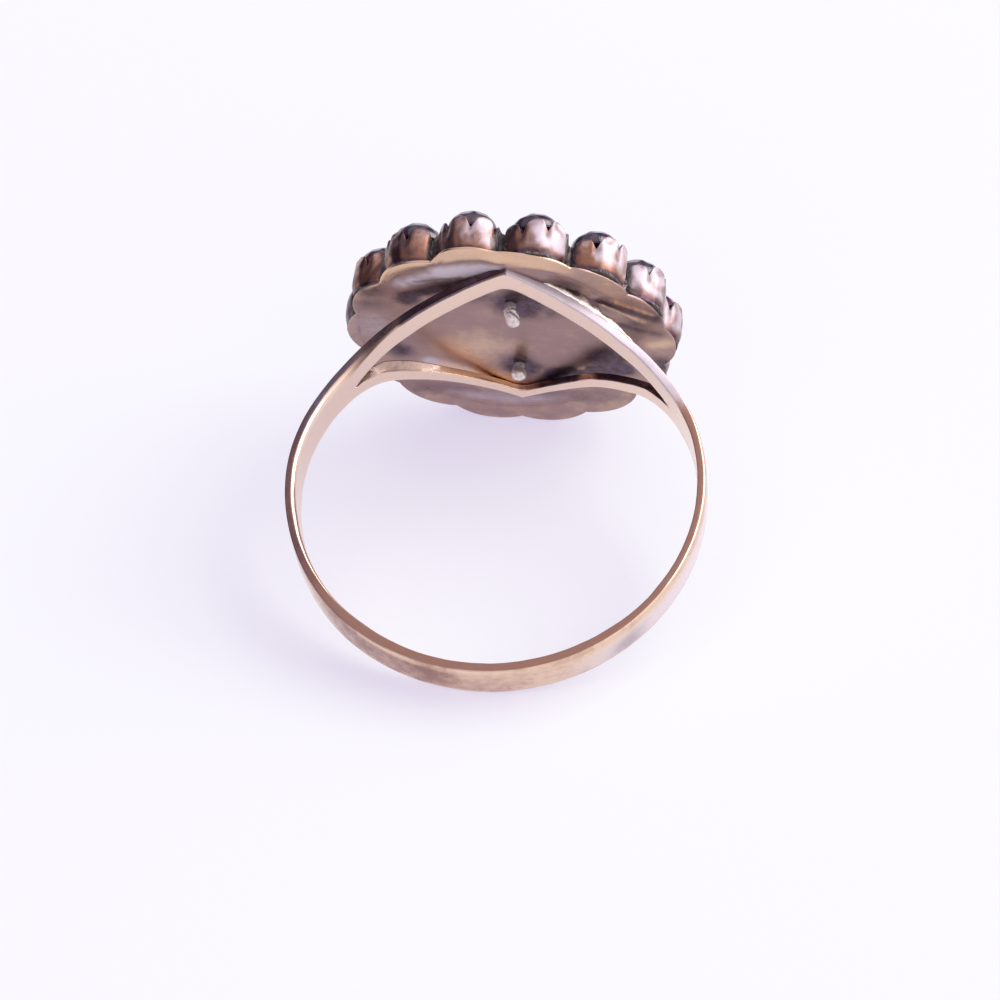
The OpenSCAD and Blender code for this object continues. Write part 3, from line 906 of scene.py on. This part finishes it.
def collet_column(angle, cup, cut, seed, shut, low_side, pressed):
    """Radius, height, grime and wear from the foot up the wall, over the rim and down inside."""
    turn, deep, wide, bent_in, _ = cut
    phase = (angle - turn) / (tau / cup.claws)
    notch, claw = round(phase) % cup.claws, floor(phase) % cup.claws
    w = 2 * abs(phase - round(phase))
    top = cup.height - deep[notch] * max(0.0, 1 - w / wide[notch]) - 0.13 * (1 - soft(w, 0.3, 1.0))
    top += 0.02 * wobble(*polar(4, angle), seed, 0.6)
    top += low_side * (0.7 * soft(cos(angle), 0.0, 0.8) - soft(-cos(angle), -0.3, 0.8))
    flute = bell(w, 0, 0.3)
    column = []
    for k in range(WALL_STEPS + 1):
        z = top * k / WALL_STEPS
        t = z / cup.height
        bulge = cup.foot + (cup.mouth - cup.foot) * soft(t, 0.0, 0.4)
        curl = bent_in[claw] * (0.25 + 0.75 * soft(w, 0.2, 0.9)) * soft(t, 0.68, 1.03)
        groove = 0.06 * flute * soft(t, 0.2, 0.6) * (1 - 0.5 * soft(t, 0.8, 1.0))
        dent = 0.022 * wobble(*polar(3, angle), z + seed, 0.8)
        patch = soft(wobble(*polar(2, angle), 2 * z + 3 * seed, 0.9), 0.1, 0.5)
        grime = max(shut, 0.95 * (1 - soft(z, 0.02, 0.1)), 0.45 * flute * soft(t, 0.3, 0.6), 0.4 * patch)
        wear = 0.8 * soft(w, 0.1, 0.8) * soft(t, 0.15, 0.85) * (1 - shut)
        column.append((bulge - curl - groove + dent - pressed, z, grime, wear))
    r_top = column[-1][0]
    for inward, drop in ((0.03, -0.03), (0.09, -0.035), (0.14, 0.02)):
        column.append((r_top - inward, top - drop, 0.1 + 0.5 * shut, 0.8 * soft(w, 0.1, 0.8)))
    loose, seat = cup.stone_r + 0.025, cup.stone_r - 0.14
    for r, rise in ((loose, 0.05), (loose, -0.08), (seat, -0.16), (seat, -cup.girdle)):
        column.append((min(r, r_top - 0.12), min(cup.girdle + rise, top - 0.05), 0.95, 0.0))
    return column


# Towards the window on the right a collet gets a painted highlight (the matt pale mark), and on its left
# flank painted shade (the stain mark); one value that grows towards the right drives both. A stain near the
# foot also makes each cup darker at the bottom.
def collet_marks(angle, z, grime, wear, seed, looks):
    cloudy = soft(wobble(*polar(2, angle), 1.3 * z + 5 * seed, 0.7), -0.35, 0.2)
    rubbed_and_lit = cos(angle) + 0.25 * wobble(*polar(3, angle), 2 * z + 9 * seed, 0.7) - looks.dark_to
    stain = 0.85 * (1 - soft(rubbed_and_lit, -0.55, -0.05)) * (0.35 + 0.65 * cloudy) * (1 - 0.55 * looks.warm)
    frost = looks.pale * soft(rubbed_and_lit, -0.1, 0.35) * soft(z, 0.2, 0.5) * (0.45 + 0.55 * cloudy)
    return {
        "grime": grime,
        "wear": wear,
        "warm": looks.warm * (1 - 0.6 * wear),
        "frost": frost,
        "stain": max(stain, 0.7 * (1 - soft(z, 0.1, 0.35))),
    }


def collet(skin, at, foot_h, cup, seed, neighbours, looks=Looks()):
    """Adds one collet at a place on the head. neighbours(angle) is how shut in that side is."""
    outward, cut = atan2(at[1], at[0]), hand_cut(cup, seed)
    lean_a, lean_b = cut[-1]
    first, spokes = len(skin.points), cup.claws * CLAW_SPOKES
    for angle in turns(spokes):
        pressed = looks.flat * soft(cos(angle - outward), 0.3, 1.0)
        column = collet_column(angle, cup, cut, seed, neighbours(angle), looks.low_side, pressed)
        for r, z, grime, wear in column:
            a = at[0] + r * cos(angle) + lean_a * z
            b = at[1] + r * sin(angle) + lean_b * z
            marks = collet_marks(angle, z, grime, wear, seed, looks)
            skin.point(on_head(a, b, foot_h + z), (z + 7 * seed, r * angle, r), **marks)
    skin.faces += hoops_to_faces(spokes, len(column), loop=True, first=first)


def shut_in(ring_angle):
    """Grime on a collet in a row: its flanks and its inner side are shut in."""

    def at(angle):
        away = angle - ring_angle
        flank = soft(abs(sin(away)), 0.84, 1.0)
        behind = soft(-cos(away), 0.1, 0.6)
        return GAP_GRIME * max(flank, 0.8 * behind)

    return at


Row = namedtuple("Row", "ring_r count foot_h h stone_r crown turn")
OUTER = Row(ring_r=6.12, count=14, foot_h=PLATE_T, h=1.75, stone_r=1.12, crown=0.98, turn=0.0)
INNER = Row(ring_r=3.5, count=8, foot_h=TIER_FRONT, h=1.1, stone_r=1.04, crown=0.72, turn=pi / 8)
CLAWS, CENTRE_CLAWS, GAP_GRIME, STONE_DROP = 7, 10, 0.85, 0.37
print("claws on the outer row:", CLAWS * OUTER.count)

# %% Outer row of collets
NOTCH_AT = {10: 274, 11: 300, 12: 278}
OUTER_LOOKS = {
    # warm, low_side, dark_to, pale; dark_to moves the edge of the painted shade, pale sets the painted
    # highlight
    8: (0.8, 0.0, 0.7, 0.5),
    9: (0.6, 0.0, 0.4, 0.5),
    10: (0.45, 0.0, -0.3, 0.5),
    11: (0.35, 0.22, -0.2, 0.7),
    12: (0.5, 0.3, -0.1, 0.55),
    13: (0.15, 0.25, -0.5, 0.65),
    0: (0.15, 0.2, 0.15, 0.5),
}
USUAL_LOOKS = (0.15, 0.0, 0.3, 0.5)
SUNK = 0.06
outer_row = Skin()
for i in range(OUTER.count):
    angle = tau * i / OUTER.count
    turn = radians(NOTCH_AT.get(i, 37 * i + degrees(angle)))
    cup = Cup(1.4, 1.26, OUTER.h - 0.07, OUTER.h - STONE_DROP + SUNK, OUTER.stone_r, CLAWS, turn)
    looks, at = Looks(*OUTER_LOOKS.get(i, USUAL_LOOKS), flat=0.1), polar(OUTER.ring_r, angle)
    collet(outer_row, at, PLATE_T - SUNK, cup, i + 1, shut_in(angle), looks)
print("outer row points:", len(outer_row.points))

# %% [markdown]
# Neighbouring collets were soldered side by side, and a century of dirt sits in the
# valleys on top of the solder. Each valley gets a rough wedge, wide at the plate and
# thin near the claws.


# %% Wedges in the valleys
def wedge(skin, ring_r, angle, foot_h, tall, wide, deep, seed):
    first, levels, around = len(skin.points), 10, 18
    radial = Vector(polar(1, angle))
    side = Vector((-radial.y, radial.x))
    for k in range(levels + 1):
        t = k / levels
        shrink = (1 - 0.25 * t) * sqrt(1 - max(0.0, t - 0.75) / 0.25) if k < levels else 0.05
        for turn in turns(around):
            rough = 1 + 0.25 * wobble(*polar(2, turn), t * 3 + seed, 0.6)
            at = radial * (ring_r + deep * shrink * rough * cos(turn))
            at += side * (wide * shrink * rough * sin(turn))
            grime = 0.85 - 0.25 * t - 0.5 * soft(radial.x, -0.1, 0.8)
            skin.point(on_head(at.x, at.y, foot_h + tall * t), grime=grime)
    skin.close_tube(levels + 1, around, first)


valleys = Skin()
for i in range(OUTER.count):
    between = tau * (i + 0.5) / OUTER.count
    wedge(valleys, 5.95, between, PLATE_T - 0.07, tall=1.55, wide=0.3, deep=0.72, seed=i)
print("valley points:", len(valleys.points))

# %% [markdown]
# Where the right upper branch meets the plate, more solder was used: a bright ragged
# bead runs along the branch's edge. In the left crotch a thin web of it is left.


# %% Bead of solder along the right upper branch
BEAD_FROM, BEAD_TO, BEAD_WIDE = 0.5, 5.4, 0.42
bead = Skin()
around, steps = 14, 90
for k in range(steps + 1):
    x = BEAD_FROM + (BEAD_TO - BEAD_FROM) * k / steps
    full = sin(pi * k / steps) ** 0.6 if 0 < k < steps else 0.02
    branch_y = under_head_y + sqrt((UNDER_HEAD_R + WALL) ** 2 - x * x) - 0.05
    wide = BEAD_WIDE * full * (1 + 0.5 * wobble(x, 1.0, 2.0, 0.3))
    mid_z = arch_edge(x, UPPER_ARCH) - 0.02 * x - 0.07
    for turn in turns(around):
        rough = 1 + 0.25 * wobble(2 * x, *polar(2, turn), 0.5)
        y = branch_y + 0.5 * wide * (1 + rough * cos(turn))
        z = mid_z + (0.03 + 0.07 * full) * rough * sin(turn)
        bead.point((x, min(y, PLATE_BACK + 0.08), z))
bead.close_tube(steps + 1, around)
print("bead points:", len(bead.points))

# %% Web of solder in the left crotch
WEB_STEPS, WEB_POINTS, WEB_LONG, WEB_SHORT = 24, 9, 1.5, 0.55
ROW = 2 * WEB_POINTS
web = Skin()
for k in range(WEB_STEPS + 1):
    for o in (0.2, 0.34):
        for n in range(WEB_POINTS):
            hollow = 1 - (n / 4 - 1) ** 2
            x = FORK_X - 0.02 - (WEB_LONG - (WEB_LONG - WEB_SHORT) * hollow) * k / WEB_STEPS
            angle = acos((x - shoulder_c.x) / (SHOULDER_R + WALL / 2))
            low, high = -fork_edge(x, -1) - 0.1, fork_edge(x, 1) + 0.1
            z = low + (high - low) * n / (WEB_POINTS - 1) + 0.02 * x
            p = Vector((-shoulder_c.x, shoulder_c.y))
            sunk = 0.1 * (k / WEB_STEPS) ** 3 * (1 if o < 0.3 else -1) - 0.03 * wobble(x, z, 5.0, 0.25)
            p += (SHOULDER_R + o - sunk) * Vector((-cos(angle), sin(angle)))
            web.point((p.x, p.y, z), grime=0.35 + 0.25 * wobble(x, z, 3.0, 0.3))
strips = [(ROW * k + o, ROW) for o in (0, WEB_POINTS) for k in range(WEB_STEPS)]
for first, away in strips + [(ROW * WEB_STEPS, WEB_POINTS)]:
    for i in range(first, first + WEB_POINTS - 1):
        web.faces.append((i, i + 1, i + 1 + away, i + away))
print("web points:", len(web.points))

# %% [markdown]
# The shank, plate and outer collets are soldered together on the real ring and are
# one CAD solid, `mount`. The scene keeps them as finer pieces with their own
# finishes, and together they stand for that solid. The last number of each is the
# angle in degrees from which an edge stays sharp.

# %% Place the mount's pieces
for name, skin, metal, sharp_deg in (
    ("shank", shank, shank_gilt, 34),
    ("base_plate", base, plate_gilt, 50),
    ("outer_collets", outer_row, collet_gilt, 60),
    ("valley_solder", valleys, solder_grey, 60),
    ("solder_bead", bead, solder_pale, 60),
    ("crotch_web", web, solder_beige, 60),
):
    make_piece(name, skin, metal, "mount", sharp_deg)

# %% [markdown]
# The upper tier is made the same way: a smaller lobed plate, eight collets in a row
# and a larger one in the middle. Polish never reached its plate, so dirt covers it.


# %% The upper tier
def tier_reach(angle):
    return lobe_reach(angle, INNER.count, INNER.ring_r, TIER_LOBE_R, INNER.turn)


def tier_marks(kind, a, b):
    return {"grime": 0.55 if kind == "rim" else 0.9, "wear": 0.1}


def tier_back(a, b):
    return 0.01 * wobble(a, b, 6.0, 1.0)


TIER_HOOP_GAP, TIER_HOOPS, TIER_SPOKES = 0.3, 11, 160
tier = Skin()
radii = [TIER_HOOP_GAP * (k + 1) for k in range(TIER_HOOPS)]
lobed_plate(tier, tier_reach, TIER_SPOKES, radii, TIER_BACK, TIER_FRONT, tier_back, tier_marks)
collet_foot = TIER_FRONT - 0.02
for i in range(INNER.count):
    angle = tau * (i + 0.5) / INNER.count
    turn = radians(37 * i) + angle
    cup = Cup(1.25, 1.13, INNER.h - 0.08, INNER.h - 0.35, INNER.stone_r, CLAWS, turn)
    collet(tier, polar(INNER.ring_r, angle), collet_foot, cup, 31 + i, shut_in(angle))
centre_cup = Cup(mouth=2.0, foot=1.88, height=1.45, girdle=1.2, stone_r=1.76, claws=CENTRE_CLAWS, turn=0.0)
collet(tier, (0.0, 0.0), collet_foot, centre_cup, 50, lambda angle: 0.25)
make_piece("upper_tier_cluster", tier, collet_gilt, "upper_tier", 60)

# %% [markdown]
# The stones are rose-like cuts: a small table on top, three rows of facets down to the girdle, and a shallow
# point below. A convex hull over rings of points gives true flat facets, and a tiny bevel makes their edges
# catch the light, as worn facet edges do. Each stone is turned and tipped, within its collet.


# %% Cut stones
def stone(name, at, seat_h, r, crown, seed, tip, left=0.0):
    dice = random.Random(1000 + seed)
    turn, eighth = dice.uniform(0, pi / 4), pi / 8
    levels = (
        # corners, share of the radius, height, turn
        (8, 0.4, crown, 0.0),
        (8, 0.69, 0.79 * crown, eighth),
        (16, 0.88, 0.53 * crown, eighth / 2),
        (16, 0.975, 0.25 * crown, 0.0),
        (16, 1.0, 0.04, 0.0),
        (16, 1.0, -0.04, 0.0),
        (16, 0.45, -0.3 * r, 0.0),
    )
    points = [
        Vector((*polar(share * r, turn + more + tau * i / n), z))
        for n, share, z, more in levels
        for i in range(n)
    ]
    points.append(Vector((0, 0, -0.5 * r)))
    lean = Matrix.Rotation(dice.uniform(-tip, tip), 3, "X")
    lean = lean @ Matrix.Rotation(dice.uniform(-tip, tip) - left, 3, "Y")
    bm = bmesh.new()
    for p in points:
        q = lean @ p
        bm.verts.new(placing @ on_head(at[0] + q.x, at[1] + q.y, seat_h + q.z))
    bmesh.ops.convex_hull(bm, input=bm.verts)
    bmesh.ops.dissolve_limit(bm, angle_limit=radians(1.5), verts=bm.verts, edges=bm.edges)
    bmesh.ops.bevel(bm, geom=bm.edges, offset=0.03 * MM, segments=2, affect="EDGES", clamp_overlap=True)
    bmesh.ops.recalc_face_normals(bm, faces=bm.faces)
    mesh = bpy.data.meshes.new(name)
    bm.to_mesh(mesh)
    bm.free()
    place_piece(name, mesh, garnet_red, name.replace("stone", "garnet"))
    return len(mesh.polygons)


LEFT_PER_LOW_SIDE = 0.5
facets = 0
for row, name, tip in ((OUTER, "outer_stone", 0.05), (INNER, "inner_stone", 0.03)):
    for i in range(row.count):
        place = polar(row.ring_r, tau * i / row.count + row.turn)
        seat = row.foot_h + row.h - STONE_DROP
        left = LEFT_PER_LOW_SIDE * OUTER_LOOKS.get(i, USUAL_LOOKS)[1] if row is OUTER else 0.0
        facets += stone(f"{name}_{i + 1}", place, seat, row.stone_r, row.crown, i, tip, left)
centre_seat = TIER_FRONT + 1.55 - STONE_DROP
facets += stone("centre_stone", (0.0, 0.0), centre_seat, centre_cup.stone_r, crown=1.05, seed=99, tip=0.01)
print("stone faces in all:", facets)

# %% [markdown]
# Two posts hold the tiers together. Behind the base plate their ends were only
# rounded over: the upper one is bent and has a twisted nick, the lower one leans
# up. A tube swept along a short curve shows that better than a straight cylinder.


# %% Rivets
BEHIND, POST_R, SWELL, POST_SHOULDER_R, POST_HEAD_R, POST_STEP = 0.85, 0.25, 0.11, 0.4, 0.31, 0.04
POST_HEIGHTS = [-BEHIND + POST_STEP * k for k in range(25)]
POST_HEIGHTS += [PLATE_T + 0.03, PLATE_T + 0.06, 0.8, TIER_BACK - 0.05, TIER_BACK - 0.03, TIER_BACK]
POST_HEIGHTS += [TIER_FRONT + rise for rise in (0.03, 0.05, 0.16, 0.18)]


def post_radius(h):
    """Radius at height h: a rounded end, a stem, a shoulder between the plates and a head."""
    if PLATE_T + 0.05 < h < TIER_BACK - 0.04:
        return POST_SHOULDER_R
    if h > TIER_FRONT + 0.04:
        return POST_HEAD_R if h < TIER_FRONT + 0.17 else POST_HEAD_R - 0.07
    end = max(0.0, min(1.0, (h + BEHIND) / 0.26))
    return (POST_R + SWELL * soft(-h, 0.0, 0.5)) * sqrt(max(0.02, 1 - (1 - end) ** 2))


def post_dent(h, turn, side, nick):
    """Share of the radius that pliers and a file left, on the end that stands out."""
    dent = 1 + nick * cos(2 * turn + 5.0 * h) * soft(-h, 0.0, 0.4)
    dent += 0.1 * wobble(*polar(2, turn), 1.5 * h + 9 * side, 0.5)
    dent -= nick * 2.2 * bell(h + 0.15 * sin(turn), -0.5, 0.06)
    return dent - nick * bell(h - 0.1 * cos(turn), -0.22, 0.05)


def rivet(name, node, side, bend, nick):
    """bend is how far the free end has moved over the plate, in mm along a and b."""
    skin = Skin()
    b0, spot_a, spot_b = side * RIVET_RING_R, *POST_SPOTS[(side + 1) // 2]
    around = 32
    for h in sorted(POST_HEIGHTS):
        out, aslant = soft(-h, 0.05, 0.85), 1 - soft(h, 0.1, 1.2)
        grime = 0.5 * (1 - soft(-h, -0.02, 0.1)) if h < 0.3 else 0.8
        for turn in turns(around):
            r = post_radius(h) * (post_dent(h, turn, side, nick) if h < 0.1 else 1.0)
            a = spot_a * aslant + bend[0] * out + r * cos(turn)
            b = b0 + (spot_b - b0) * aslant + bend[1] * out + r * sin(turn)
            skin.point(on_head(a, b, h), grime=grime, wear=soft(-h, 0.2, 0.6))
    skin.close_tube(len(POST_HEIGHTS), around)
    make_piece(name, skin, rivet_pale, node, 50)


rivet("rivet_upper_post", "rivet_upper", -1, (0.2, 0.16), 0.13)
rivet("rivet_lower_post", "rivet_lower", 1, (0.08, -0.38), 0.08)

# %% [markdown]
# Everything stands on a plain pale sweep, which glows a little, as a light table
# does, so that its shadow stays thin and violet. The ring was lit by one large
# window, behind it and to the right, in a room with a dim ceiling and a dark left
# side. Such contrast makes polished metal read as metal, so the studio copies it.

# %% Floor
FLOOR_REACH = 0.8
glow = {"Emission Color": (0.84, 0.75, 1.0, 1), "Emission Strength": 0.7}
glow |= {"Roughness": 0.9, "Specular IOR Level": 0.1}
floor_white, start, shader = new_material("floor_white", glow)
grainy = ring_mm(start).cloud(0.9, 2.0)
feed((grainy * 0.04).mixed((0.33, 0.39, 0.27, 1), (0.32, 0.38, 0.26, 1)), shader, "Base Color")
floor_mesh = bpy.data.meshes.new("floor")
corners = [(FLOOR_REACH * x, FLOOR_REACH * y, 0) for x, y in ((-1, -1), (1, -1), (1, 1), (-1, 1))]
floor_mesh.from_pydata(corners, [], [(0, 1, 2, 3)])
floor_mesh.materials.append(floor_white)
add_object("floor", floor_mesh)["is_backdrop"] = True
print("floor", 2 * FLOOR_REACH, "m wide")

# %% World
DIM_SIDE, BRIGHT_SIDE, CEILING = (0.72, 0.66, 0.8, 1), (1.15, 1.1, 1.14, 1), (0.84, 0.79, 0.86, 1)
BACK_WALL, LEFT_WALL = (0.11, 0.075, 0.3, 1), (0.09, 0.085, 0.15, 1)
world = bpy.data.worlds.new("studio")
bpy.context.scene.world = world
world.use_nodes = True
sky = Flow(world.node_tree)
toward = sky.node("ShaderNodeTexCoord", out="Generated")
up, right, back = toward.part("Z"), toward.part("X"), toward.part("Y")
level = (right * 0.8 + back * 0.2).step(-0.5, 0.6).mixed(DIM_SIDE, BRIGHT_SIDE)
level = up.step(0.6, 0.95).mixed(level, CEILING)
level = ((back - up * 0.25).step(0.55, 0.85) * 0.9).mixed(level, BACK_WALL)
level = ((right * -1.0 + back * 0.1 - up * 0.2).step(0.3, 0.7) * 0.95).mixed(level, LEFT_WALL)
background = world.node_tree.nodes["Background"]
feed(level, background, "Color")
background.inputs["Strength"].default_value = 1.0
print("world set")

# %% The window
WINDOW_AT, WINDOW_SIZE, WINDOW_POWER = Vector((0.82, 0.32, 0.67)), (1.2, 0.9), 10.0
window_data = bpy.data.lights.new("window", "AREA")
window_data.shape, window_data.size, window_data.size_y = "RECTANGLE", *WINDOW_SIZE
window_data.energy, window_data.color = WINDOW_POWER, (1.0, 0.97, 1.0)
window = add_object("window", window_data)
window.location = WINDOW_AT
window.rotation_mode = "QUATERNION"
window.rotation_quaternion = (-WINDOW_AT).to_track_quat("-Z", "Y")
print("lights:", [o.name for o in bpy.data.objects if o.type == "LIGHT"])

# %% [markdown]
# The camera looks over the bottom of the band into the finger hole, from high on
# the finger's side, and is rolled a little. The numbers come from fitting the band,
# the arches and the plate to the photograph's frame of 1000 by 1000 pixels: angles
# in radians, lengths in the ring's own millimetres, the focal length in pixels.

# %% Camera
HIGH, ROUND, ROLL = 1.08418, 0.25566, -0.17133
DISTANCE, AIM, FOCAL_PX, FRAME_PX, SENSOR_MM = 136.03, Vector((0.1793, -0.3878, 0.0)), 3200.0, 1000, 36.0
away = Vector((sin(ROUND) * cos(HIGH), -cos(ROUND) * cos(HIGH), sin(HIGH)))
right_way = (-away).cross(Vector((0, 0, 1))).normalized()
up_way = right_way.cross(-away)
right_rolled = cos(ROLL) * right_way + sin(ROLL) * up_way
up_rolled = cos(ROLL) * up_way - sin(ROLL) * right_way
turned = axes @ Matrix((right_rolled, up_rolled, away)).transposed()
camera_data = bpy.data.cameras.new("camera")
camera_data.sensor_width, camera_data.lens = SENSOR_MM, FOCAL_PX / FRAME_PX * SENSOR_MM
camera_data.clip_start, camera_data.clip_end = 0.005, 5.0
camera = add_object("camera", camera_data)
camera.matrix_world = Matrix.Translation(placing @ (AIM + DISTANCE * away)) @ turned.to_4x4()
bpy.context.scene.camera = camera
bpy.context.scene.view_settings.view_transform = "Standard"
print("camera at", [round(1000 * v, 1) for v in camera.location], "mm")

# %% [markdown]
# Last, the visual model's box is printed.

# %% Sizes, and finish
low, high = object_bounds()
print("visual box in mm:", [round(1000 * v, 2) for v in high - low])
